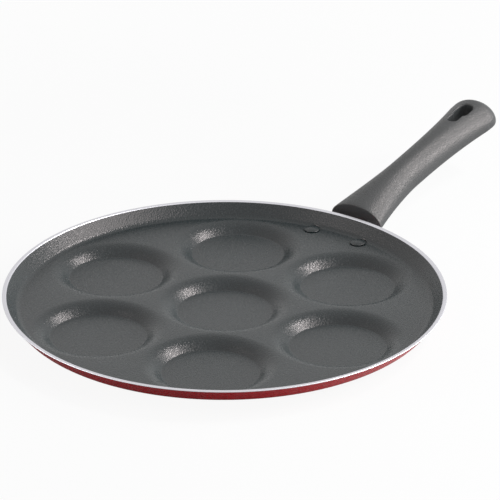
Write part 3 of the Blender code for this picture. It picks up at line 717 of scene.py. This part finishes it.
def keyhole_cutter(g):
    """Return a plug for the hanging hole that flares at both skins to round its edges."""
    outline = keyhole_outline(g)
    flares = [(g.hole_round * (1 + FLARE_PAST), -g.hole_round * FLARE_PAST)]
    for i in range(EDGE_STEPS * 2):
        turn = FLARE_START + (pi / 2 - FLARE_START) * i / (EDGE_STEPS * 2 - 1)
        flares.append((g.hole_round * (1 - sin(turn)), g.hole_round * (1 - cos(turn))))
    points, rings = [], []
    for upper in (True, False):
        side = 1 if upper else -1
        loops = [[(place.x, place.y, side * g.waist_thick)
                  for place in widened(outline, flares[0][0])]]
        for spread, sink in flares:
            loops.append([(place.x, place.y, skin_height(g, place, upper) - side * sink)
                          for place in widened(outline, spread)])
        for loop in loops if upper else loops[::-1]:
            rings.append(list(range(len(points), len(points) + len(outline))))
            points += loop
    faces = bands(rings[::-1]) + [rings[0], rings[-1][::-1]]
    return link_new("keyhole_cutter", face_out(mesh_of("keyhole_cutter", points, faces)))


def prism(name, outline, low, high):
    """Extrude an anticlockwise outline in XY from one height to another."""
    count = len(outline)
    points = [(x, y, z) for z in (low, high) for x, y in outline]
    faces = [list(range(count))[::-1], list(range(count, 2 * count))]
    for i in range(count):
        j = (i + 1) % count
        faces.append((i, j, count + j, count + i))
    return link_new(name, mesh_of(name, points, faces))


def make_grip(pan, grip, finish):
    """Loft the grip, then cut its hanging hole, the strap's socket and the screw's bore."""
    g = grip_shape(pan, grip)
    piece = add_piece("moulded_grip", grip_mesh(g), [finish], "handle_grip")
    root, tip = TONGUE_ROOT + FIT_GAP, TONGUE_TIP + FIT_GAP
    socket = prism("socket_cutter", [(SOCKET_FROM, -root), (SOCKET_TO, -tip), (SOCKET_TO, tip),
                                     (SOCKET_FROM, root)],
                   -SOCKET_DROP - SOCKET_HALF, SOCKET_HALF - SOCKET_DROP)
    mouth = skin_height(g, Vector((SCREW_PLACE, 0)), False)
    seat = mouth + HEAD_DEPTH
    top = SOCKET_HALF - SOCKET_DROP + INSERT_REACH
    bore = turned("screw_bore_cutter",
                  [(0, top), (INSERT_BORE, top), (INSERT_BORE, -SOCKET_DROP),
                   (SHANK_BORE, -SOCKET_DROP), (SHANK_BORE, seat), (HEAD_BORE, seat),
                   (HEAD_BORE, mouth + MOUTH_HALF), (MOUTH_BORE, mouth - MOUTH_HALF),
                   (MOUTH_BORE, BORE_FROM), (0, BORE_FROM)])
    bore.transform(Matrix.Translation((SCREW_PLACE, 0, 0)))
    carve(piece, [keyhole_cutter(g), socket, link_new("screw_bore_cutter", bore)])
    piece.data.transform(to_part(g))
    piece.data.name = "moulded_grip"
    piece.data.set_sharp_from_angle(angle=SMOOTH_CARVED)


# Bracket and fasteners

def eased_copy(name, node, edge, finish):
    """Stand a copy of a node, with its edges rounded, in the node's place."""
    work = bmesh.new()
    work.from_mesh(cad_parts[node].data)
    bmesh.ops.remove_doubles(work, verts=work.verts, dist=1e-6)
    bmesh.ops.dissolve_limit(work, angle_limit=radians(0.5), verts=work.verts, edges=work.edges)
    sharp = [e for e in work.edges if len(e.link_faces) == 2 and e.calc_face_angle() > BEVELLED]
    bmesh.ops.bevel(work, geom=sharp, offset=edge, offset_type="OFFSET", segments=EASED_STEPS,
                    profile=0.5, affect="EDGES", clamp_overlap=True)
    mesh = bpy.data.meshes.new(name)
    work.to_mesh(mesh)
    work.free()
    mesh.shade_smooth()
    mesh.set_sharp_from_angle(angle=SMOOTH_ROUND)
    add_piece(name, mesh, [finish], node)


# Finishes

def add(tree, kind, links=None, **settings):
    """Add a node with its settings; links fill its sockets with values or other sockets."""
    node = tree.nodes.new(kind)
    for name, value in settings.items():
        setattr(node, name, value)
    for name, source in (links or {}).items():
        if isinstance(source, bpy.types.NodeSocket):
            tree.links.new(source, node.inputs[name])
        else:
            node.inputs[name].default_value = source
    return node


def new_finish(name, roughness, metallic=0.0):
    """Return a new material with its node tree, its shader and its object coordinates."""
    finish = bpy.data.materials.new(name)
    finish.use_nodes = True
    tree = finish.node_tree
    shader = tree.nodes["Principled BSDF"]
    shader.inputs["Roughness"].default_value = roughness
    shader.inputs["Metallic"].default_value = metallic
    place = add(tree, "ShaderNodeTexCoord").outputs["Object"]
    return finish, tree, shader, place


def per_mm(size):
    """Return the scale of a pattern whose features are this many millimetres apart."""
    return 1000 / size


def rgba(tint, by=1.0):
    """Return a colour, made lighter or darker, with its alpha."""
    return tuple(min(value * by, 1) for value in tint) + (1,)


def sprayed_nonstick(colours):
    """Filled PTFE, sprayed and baked: satin and pebbled, so a highlight breaks into grains."""
    finish, tree, shader, place = new_finish("ptfe_sprayed_baked", 0.42)
    # Its colour is darker than it looks, because its gloss adds the white that stands round it
    # The real pebbles are about 0.3 mm apart, drawn at 1 mm so that they show
    pebbles = add(tree, "ShaderNodeTexNoise",
                  {"Vector": place, "Scale": per_mm(1), "Detail": 1, "Roughness": 0.5})
    mottle = add(tree, "ShaderNodeTexNoise", {"Vector": place, "Scale": per_mm(30), "Detail": 3})
    base = add(tree, "ShaderNodeMix",
               {"Factor": mottle.outputs["Fac"], "A": rgba(colours.coating, 0.88),
                "B": rgba(colours.coating, 1.12)}, data_type="RGBA")
    tips = add(tree, "ShaderNodeMapRange",
               {"Value": pebbles.outputs["Fac"], "From Min": 0.55, "From Max": 0.8,
                "To Min": 0.0, "To Max": 0.04})
    tint = add(tree, "ShaderNodeMix",
               {"Factor": tips.outputs["Result"], "A": base.outputs["Result"],
                "B": rgba(colours.fleck)}, data_type="RGBA")
    rough = add(tree, "ShaderNodeMapRange",
                {"Value": pebbles.outputs["Fac"], "From Min": 0.35, "From Max": 0.65,
                 "To Min": 0.2, "To Max": 0.38})
    bump = add(tree, "ShaderNodeBump",
               {"Height": pebbles.outputs["Fac"], "Strength": 0.9, "Distance": 0.00023})
    shader.inputs["Specular Tint"].default_value = (1, 0.9, 0.89, 1)
    tree.links.new(tint.outputs["Result"], shader.inputs["Base Color"])
    tree.links.new(rough.outputs["Result"], shader.inputs["Roughness"])
    tree.links.new(bump.outputs["Normal"], shader.inputs["Normal"])
    return finish


def fired_enamel(colours):
    """Heat-proof enamel, sprayed and fired: glossy, with the faint waves of a thick coat."""
    finish, tree, shader, place = new_finish("enamel_sprayed_fired", 0.25)
    shader.inputs["Specular IOR Level"].default_value = 0.16
    waves = add(tree, "ShaderNodeTexNoise",
                {"Vector": place, "Scale": per_mm(5), "Detail": 1, "Roughness": 0.4})
    tint = add(tree, "ShaderNodeMix",
               {"Factor": waves.outputs["Fac"], "A": rgba(colours.enamel, 0.9),
                "B": rgba(colours.enamel, 1.08)}, data_type="RGBA")
    rough = add(tree, "ShaderNodeMapRange",
                {"Value": waves.outputs["Fac"], "To Min": 0.22, "To Max": 0.32})
    bump = add(tree, "ShaderNodeBump",
               {"Height": waves.outputs["Fac"], "Strength": 0.12, "Distance": 0.0004})
    tree.links.new(tint.outputs["Result"], shader.inputs["Base Color"])
    tree.links.new(rough.outputs["Result"], shader.inputs["Roughness"])
    tree.links.new(bump.outputs["Normal"], shader.inputs["Normal"])
    return finish


def trimmed_aluminium(colours):
    """Bare aluminium, trimmed on a lathe: bright, with fine lines round the rim."""
    finish, tree, shader, place = new_finish("aluminium_lathe_trimmed", 0.35, 1.0)
    split = add(tree, "ShaderNodeSeparateXYZ", {"Vector": place})
    flat = add(tree, "ShaderNodeCombineXYZ",
               {"X": split.outputs["X"], "Y": split.outputs["Y"]})
    radius = add(tree, "ShaderNodeVectorMath", {0: flat.outputs["Vector"]}, operation="LENGTH")
    # Tool lines are about 0.1 mm apart, drawn at 0.4 mm so that they show
    lines = add(tree, "ShaderNodeTexNoise",
                {"W": radius.outputs["Value"], "Scale": per_mm(0.4), "Detail": 1},
                noise_dimensions="1D")
    rough = add(tree, "ShaderNodeMapRange",
                {"Value": lines.outputs["Fac"], "To Min": 0.26, "To Max": 0.46})
    bump = add(tree, "ShaderNodeBump",
               {"Height": lines.outputs["Fac"], "Strength": 0.2, "Distance": 0.00005})
    shader.inputs["Base Color"].default_value = rgba(colours.aluminium)
    tree.links.new(rough.outputs["Result"], shader.inputs["Roughness"])
    tree.links.new(bump.outputs["Normal"], shader.inputs["Normal"])
    return finish


def moulded_phenolic(colours):
    """Filled phenolic, compression moulded in an etched tool: dark, with a soft sheen."""
    finish, tree, shader, place = new_finish("phenolic_compression_moulded", 0.4)
    # The etched grain is about 0.3 mm, drawn at 0.9 mm so that it shows
    grain = add(tree, "ShaderNodeTexNoise",
                {"Vector": place, "Scale": per_mm(0.9), "Detail": 1, "Roughness": 0.5})
    clouds = add(tree, "ShaderNodeTexNoise", {"Vector": place, "Scale": per_mm(18), "Detail": 2})
    tint = add(tree, "ShaderNodeMix",
               {"Factor": clouds.outputs["Fac"], "A": rgba(colours.phenolic, 0.92),
                "B": rgba(colours.phenolic, 1.08)}, data_type="RGBA")
    rough = add(tree, "ShaderNodeMapRange",
                {"Value": grain.outputs["Fac"], "From Min": 0.35, "From Max": 0.65,
                 "To Min": 0.36, "To Max": 0.58})
    bump = add(tree, "ShaderNodeBump",
               {"Height": grain.outputs["Fac"], "Strength": 0.9, "Distance": 0.00025})
    shader.inputs["Specular Tint"].default_value = (1, 0.9, 0.88, 1)
    tree.links.new(tint.outputs["Result"], shader.inputs["Base Color"])
    tree.links.new(rough.outputs["Result"], shader.inputs["Roughness"])
    tree.links.new(bump.outputs["Normal"], shader.inputs["Normal"])
    return finish


def zinc_plated_steel(colours):
    """Pressed steel, zinc plated: a cool satin metal with faint clouds in the plating."""
    finish, tree, shader, place = new_finish("steel_zinc_plated", 0.35, 1.0)
    clouds = add(tree, "ShaderNodeTexNoise", {"Vector": place, "Scale": per_mm(6), "Detail": 4})
    tint = add(tree, "ShaderNodeMix",
               {"Factor": clouds.outputs["Fac"], "A": rgba(colours.zinc, 0.82),
                "B": rgba(colours.zinc, 1.05)}, data_type="RGBA")
    rough = add(tree, "ShaderNodeMapRange",
                {"Value": clouds.outputs["Fac"], "To Min": 0.28, "To Max": 0.46})
    tree.links.new(tint.outputs["Result"], shader.inputs["Base Color"])
    tree.links.new(rough.outputs["Result"], shader.inputs["Roughness"])
    return finish


def turned_brass(colours):
    """Free-cutting brass, turned: yellow, with a fine satin from the tool."""
    finish, tree, shader, place = new_finish("brass_turned", 0.3, 1.0)
    grain = add(tree, "ShaderNodeTexNoise", {"Vector": place, "Scale": per_mm(0.6), "Detail": 2})
    rough = add(tree, "ShaderNodeMapRange",
                {"Value": grain.outputs["Fac"], "To Min": 0.24, "To Max": 0.40})
    shader.inputs["Base Color"].default_value = rgba(colours.brass)
    tree.links.new(rough.outputs["Result"], shader.inputs["Roughness"])
    return finish


def finish_named(name, maker, colours):
    """Return a finish that exists already, or make it."""
    return bpy.data.materials.get(name) or maker(colours)


# Stage

def studio_floor(colours):
    """Matt white card, which fades to pure white where nothing stands."""
    finish, tree, shader, place = new_finish("card_matt_white", 0.9)
    path = add(tree, "ShaderNodeLightPath")
    away = add(tree, "ShaderNodeVectorMath", {0: place}, operation="LENGTH").outputs["Value"]
    seen = add(tree, "ShaderNodeMapRange", {"Value": away, "From Min": 0.35, "From Max": 0.9,
                                            "To Min": 0.92, "To Max": 1.0})
    # The gloss sees the card's own shadowed tone under the pan, and white far from it
    mirrored = add(tree, "ShaderNodeMapRange", {"Value": away, "From Min": 0.2, "From Max": 0.7})
    straight = add(tree, "ShaderNodeMath", {0: path.outputs["Is Camera Ray"],
                                            1: path.outputs["Is Transmission Ray"]},
                   operation="MAXIMUM")
    share = add(tree, "ShaderNodeMath", {0: straight.outputs[0], 1: seen.outputs["Result"]},
                operation="MULTIPLY")
    gloss = add(tree, "ShaderNodeMath", {0: path.outputs["Is Glossy Ray"],
                                         1: mirrored.outputs["Result"]}, operation="MULTIPLY")
    share = add(tree, "ShaderNodeMath", {0: share.outputs[0], 1: gloss.outputs[0]},
                operation="MAXIMUM")
    shader.inputs["Base Color"].default_value = rgba(colours.floor)
    white = add(tree, "ShaderNodeEmission", {"Color": (1, 1, 1, 1), "Strength": 1.0})
    mixed = add(tree, "ShaderNodeMixShader",
                {0: share.outputs["Value"], 1: shader.outputs["BSDF"], 2: white.outputs[0]})
    tree.links.new(mixed.outputs[0], tree.nodes["Material Output"].inputs["Surface"])
    return finish


def add_floor(colours):
    """Lay the card just under the pan, as rings round its middle."""
    points, rings = [(0, 0, 0)], []
    for radius in FLOOR_RINGS:
        rings.append(list(range(len(points), len(points) + ROUND_SEGMENTS)))
        points += [(*point, 0) for point in arc((0, 0), radius, 0, 2 * pi, ROUND_SEGMENTS)[:-1]]
    faces = bands(rings)
    faces += [(0, rings[0][i], rings[0][(i + 1) % ROUND_SEGMENTS]) for i in range(ROUND_SEGMENTS)]
    floor = link_new("floor", mesh_of("floor", points, faces))
    floor.location.z = -FLOOR_DROP
    floor.data.materials.append(studio_floor(colours))


def add_lamp(name, turn, elevation, distance, size, power):
    """Hang a rectangular lamp that faces the pan's middle."""
    lamp = bpy.data.lights.new(name, "AREA")
    lamp.shape = "RECTANGLE"
    lamp.size, lamp.size_y = size
    lamp.energy = power
    thing = link_new(name, lamp)
    towards = Vector((cos(elevation) * cos(turn), cos(elevation) * sin(turn), sin(elevation)))
    thing.location = Vector(LAMP_AIM) + towards * distance
    thing.rotation_euler = towards.to_track_quat("Z", "Y").to_euler()


def light_world(strength):
    """Plain light from all round, and white to the camera, off gloss and through glass."""
    world = bpy.data.worlds.new("studio")
    bpy.context.scene.world = world
    world.use_nodes = True
    tree = world.node_tree
    path = add(tree, "ShaderNodeLightPath")
    straight = add(tree, "ShaderNodeMath", {0: path.outputs["Is Camera Ray"],
                                            1: path.outputs["Is Transmission Ray"]},
                   operation="MAXIMUM")
    seen = add(tree, "ShaderNodeMath", {0: straight.outputs["Value"],
                                        1: path.outputs["Is Glossy Ray"]}, operation="MAXIMUM")
    light = add(tree, "ShaderNodeMapRange",
                {"Value": seen.outputs["Value"], "To Min": strength, "To Max": 1.0})
    background = tree.nodes["Background"]
    background.inputs["Color"].default_value = (1, 1, 1, 1)
    tree.links.new(light.outputs["Result"], background.inputs["Strength"])


def add_camera(studio):
    """Look at the pan from the photograph's side."""
    camera = bpy.data.cameras.new("camera")
    camera.lens = studio.lens
    camera.sensor_width = 36
    camera.dof.use_dof = False
    thing = link_new("camera", camera)
    view = Vector((cos(studio.drop) * cos(studio.turn), cos(studio.drop) * sin(studio.turn),
                   -sin(studio.drop)))
    right = Vector((sin(studio.turn), -cos(studio.turn), 0))
    up = right.cross(view)
    place = Vector(studio.aim) - view * studio.distance
    axes = Matrix((right, up, -view)).transposed()
    thing.matrix_world = Matrix.Translation(place) @ axes.to_4x4()
    bpy.context.scene.camera = thing


# Operators

class TAWA_OT_pan(Operator):
    """Build the pressed pan over its node"""
    bl_idname = "tawa.pan"
    bl_label = "Pan"

    def execute(self, context):
        colours = context.scene.tawa_colours
        finishes = [finish_named("ptfe_sprayed_baked", sprayed_nonstick, colours),
                    finish_named("enamel_sprayed_fired", fired_enamel, colours),
                    finish_named("aluminium_lathe_trimmed", trimmed_aluminium, colours)]
        make_pan(context.scene.tawa_pan, finishes)
        return {"FINISHED"}


class TAWA_OT_rivets(Operator):
    """Build the two domed rivets over their nodes"""
    bl_idname = "tawa.rivets"
    bl_label = "Rivets"

    def execute(self, context):
        colours = context.scene.tawa_colours
        finish = finish_named("ptfe_sprayed_baked", sprayed_nonstick, colours)
        make_rivets(context.scene.tawa_pan, finish)
        return {"FINISHED"}


class TAWA_OT_grip(Operator):
    """Build the moulded grip over its node"""
    bl_idname = "tawa.grip"
    bl_label = "Grip"

    def execute(self, context):
        scene = context.scene
        finish = finish_named("phenolic_compression_moulded", moulded_phenolic,
                              scene.tawa_colours)
        make_grip(scene.tawa_pan, scene.tawa_grip, finish)
        return {"FINISHED"}


class TAWA_OT_bracket(Operator):
    """Round the bracket's edges and plate it"""
    bl_idname = "tawa.bracket"
    bl_label = "Bracket"

    def execute(self, context):
        finish = finish_named("steel_zinc_plated", zinc_plated_steel, context.scene.tawa_colours)
        eased_copy("strap_bracket", "handle_bracket", BRACKET_EDGE, finish)
        return {"FINISHED"}


class TAWA_OT_fasteners(Operator):
    """Finish the screw, its split washer and the insert that takes it"""
    bl_idname = "tawa.fasteners"
    bl_label = "Fasteners"

    def execute(self, context):
        colours = context.scene.tawa_colours
        zinc = finish_named("steel_zinc_plated", zinc_plated_steel, colours)
        eased_copy("pan_head_screw", "handle_screw", SCREW_EDGE, zinc)
        eased_copy("split_washer", "screw_washer", WASHER_EDGE, zinc)
        brass = finish_named("brass_turned", turned_brass, colours)
        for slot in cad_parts["grip_insert"].material_slots:
            slot.material = brass
        return {"FINISHED"}


class TAWA_OT_stage(Operator):
    """Set the floor, the lamps, the world and the camera"""
    bl_idname = "tawa.stage"
    bl_label = "Stage"

    def execute(self, context):
        scene = context.scene
        studio = scene.tawa_studio
        add_floor(scene.tawa_colours)
        for name, turn, elevation, distance, size, power in LAMPS:
            add_lamp(name, studio.turn - radians(turn), radians(elevation), distance, size,
                     power * studio.lamps)
        light_world(studio.world)
        add_camera(studio)
        scene.view_settings.view_transform = "Standard"
        return {"FINISHED"}


OPERATORS = (TAWA_OT_pan, TAWA_OT_rivets, TAWA_OT_grip, TAWA_OT_bracket, TAWA_OT_fasteners,
             TAWA_OT_stage)


class TAWA_PT_panel(Panel):
    """Sizes, colours and steps of the tawa"""
    bl_idname = "TAWA_PT_panel"
    bl_label = "Tawa"
    bl_space_type = "VIEW_3D"
    bl_region_type = "UI"
    bl_category = "Tawa"

    def draw(self, context):
        for group in GROUPS:
            box = self.layout.box()
            settings = getattr(context.scene, group)
            for name in settings.__annotations__:
                box.prop(settings, name)
        for operator in OPERATORS:
            self.layout.operator(operator.bl_idname)


GROUPS = {"tawa_pan": TawaPanSizes, "tawa_grip": TawaGripSizes, "tawa_colours": TawaColours,
          "tawa_studio": TawaStudio}
CLASSES = (*GROUPS.values(), *OPERATORS, TAWA_PT_panel)


def register():
    """Add the tawa's settings, steps and panel to Blender."""
    for cls in CLASSES:
        bpy.utils.register_class(cls)
    for name, cls in GROUPS.items():
        setattr(bpy.types.Scene, name, PointerProperty(type=cls))


def unregister():
    """Take them away again."""
    for name in GROUPS:
        delattr(bpy.types.Scene, name)
    for cls in reversed(CLASSES):
        bpy.utils.unregister_class(cls)


def main():
    """Build and dress the part."""
    register()
    bpy.ops.tawa.pan()
    bpy.ops.tawa.rivets()
    bpy.ops.tawa.grip()
    bpy.ops.tawa.bracket()
    bpy.ops.tawa.fasteners()
    bpy.ops.tawa.stage()


if __name__ == "__main__":
    main()
